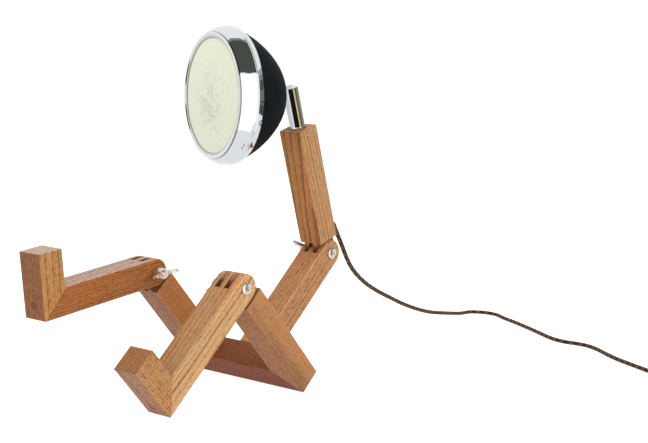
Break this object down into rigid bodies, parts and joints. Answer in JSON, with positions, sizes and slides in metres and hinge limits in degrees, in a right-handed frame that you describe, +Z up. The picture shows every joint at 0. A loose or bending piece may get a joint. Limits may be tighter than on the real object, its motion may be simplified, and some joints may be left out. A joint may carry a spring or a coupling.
{
  "type": "robot shaped desk lamp",
  "caption": "Desk lamp built like a seated wooden figure: jointed beam legs and torso, chromed neck post, round metal reflector head on a ball swivel, and an inline-switched mains cord.",
  "frame": {"origin": "floor level, under the centre of the lamp's bounding box without its free cord", "axes": "+Z up, -Y the way the seated figure looks (towards its feet), +X towards its left leg"},
  "size_m": [0.6046, 0.9531, 0.3941],
  "materials": {
    "oiled_wood": "oiled open-grained hardwood, satin",
    "wood_shade": "oiled hardwood, darker face",
    "dark_plug": "dark hardwood plugs",
    "beech": "plain beech dowel",
    "chrome": "polished",
    "steel": "bright zinc",
    "shell_paint": "satin anthracite",
    "lens_plastic": "frosted, faintly prismatic",
    "rubber": "matte",
    "white_plastic": "moulded white",
    "aluminium": "bright reflector and cast sink",
    "led": "phosphor yellow",
    "braid": "braided textile",
    "wire": "coloured wire sleeving",
    "black_plastic": "fine matte",
    "brass": "plain",
    "rocker_cream": "smooth"
  },
  "bodies": {
    "frame": {"crossbar": "wood_shade", "left_thigh": "oiled_wood", "right_thigh": "oiled_wood", "spine": "oiled_wood", "spine_dowels": "beech", "frame_screws": "steel", "frame_plugs": "dark_plug", "waist_bolt": "chrome", "waist_washer": "chrome", "mains_cord": "braid", "cord_coil": "braid", "coil_tie": "black_plastic", "switch_base": "black_plastic", "switch_cover": "black_plastic", "switch_contacts": "brass", "plug_body": "black_plastic", "plug_pins": "steel"},
    "left_leg": {"left_shin": "oiled_wood", "left_foot": "wood_shade", "left_foot_screw": "steel", "left_foot_plug": "dark_plug", "left_knee_bolt": "chrome", "left_knee_washer": "chrome"},
    "right_leg": {"right_shin": "oiled_wood", "right_foot": "wood_shade", "right_foot_screw": "steel", "right_foot_plug": "dark_plug", "right_knee_bolt": "chrome", "right_knee_washer": "chrome"},
    "left_knob": {"left_wing_nut": "chrome"},
    "right_knob": {"right_wing_nut": "chrome"},
    "waist_knob": {"waist_wing_nut": "chrome"},
    "torso": {"neck_beam": "oiled_wood", "post_bush": "white_plastic", "cord_grip": "rubber", "inner_cord": "braid"},
    "post_turning": {"post": "chrome", "post_cap": "chrome", "retaining_ring": "steel", "ball_stud": "chrome", "post_leads": "wire"},
    "head": {"head_shell": "shell_paint", "rim_band": "chrome", "bezel_ring": "chrome", "lens": "lens_plastic", "lens_gasket": "rubber", "reflector": "aluminium", "led_board": "white_plastic", "led_chips": "led", "heat_sink": "aluminium", "led_driver": "white_plastic", "head_screws": "steel", "socket_body": "steel", "socket_cap": "chrome", "ball_seat": "white_plastic", "spring_washer": "steel", "head_leads": "wire"},
    "rocker": {"switch_rocker": "rocker_cream"}
  },
  "joints": [
    {"name": "left_knee", "type": "hinge", "parent": "frame", "child": "left_leg", "pos_m": [0.07446, -0.03613, 0.12156], "axis": [1, 0, 0], "range_deg": [-90, 6]},
    {"name": "right_knee", "type": "hinge", "parent": "frame", "child": "right_leg", "pos_m": [-0.05754, -0.03613, 0.12156], "axis": [1, 0, 0], "range_deg": [-54, 42]},
    {"name": "left_wing_turn", "type": "hinge", "parent": "left_leg", "child": "left_knob", "pos_m": [0.05246, -0.03613, 0.12156], "axis": [-1, 0, 0], "range_deg": [0, 180]},
    {"name": "right_wing_turn", "type": "hinge", "parent": "right_leg", "child": "right_knob", "pos_m": [-0.03554, -0.03613, 0.12156], "axis": [1, 0, 0], "range_deg": [0, 180]},
    {"name": "waist", "type": "hinge", "parent": "frame", "child": "torso", "pos_m": [0.00846, 0.18257, 0.14009], "axis": [1, 0, 0], "range_deg": [-65, 15], "deforming": ["mains_cord"]},
    {"name": "waist_wing_turn", "type": "hinge", "parent": "frame", "child": "waist_knob", "pos_m": [-0.01354, 0.18257, 0.14009], "axis": [-1, 0, 0], "range_deg": [0, 180]},
    {"name": "post_turn", "type": "hinge", "parent": "torso", "child": "post_turning", "pos_m": [0.00846, 0.12684, 0.28526], "axis": [0, -0.3584, 0.9336], "range_deg": [-140, 170]},
    {"name": "head_tilt", "type": "hinge", "parent": "post_turning", "child": "head", "pos_m": [0.00011, 0.09023, 0.31994], "axis": [0.9336, -0.3346, -0.1284], "range_deg": [-17, 28]},
    {"name": "rocker_tip", "type": "hinge", "parent": "frame", "child": "rocker", "pos_m": [0.34446, 0.45528, 0.0114], "axis": [0.7986, 0.6018, 0], "range_deg": [-14, 0]}
  ]
}
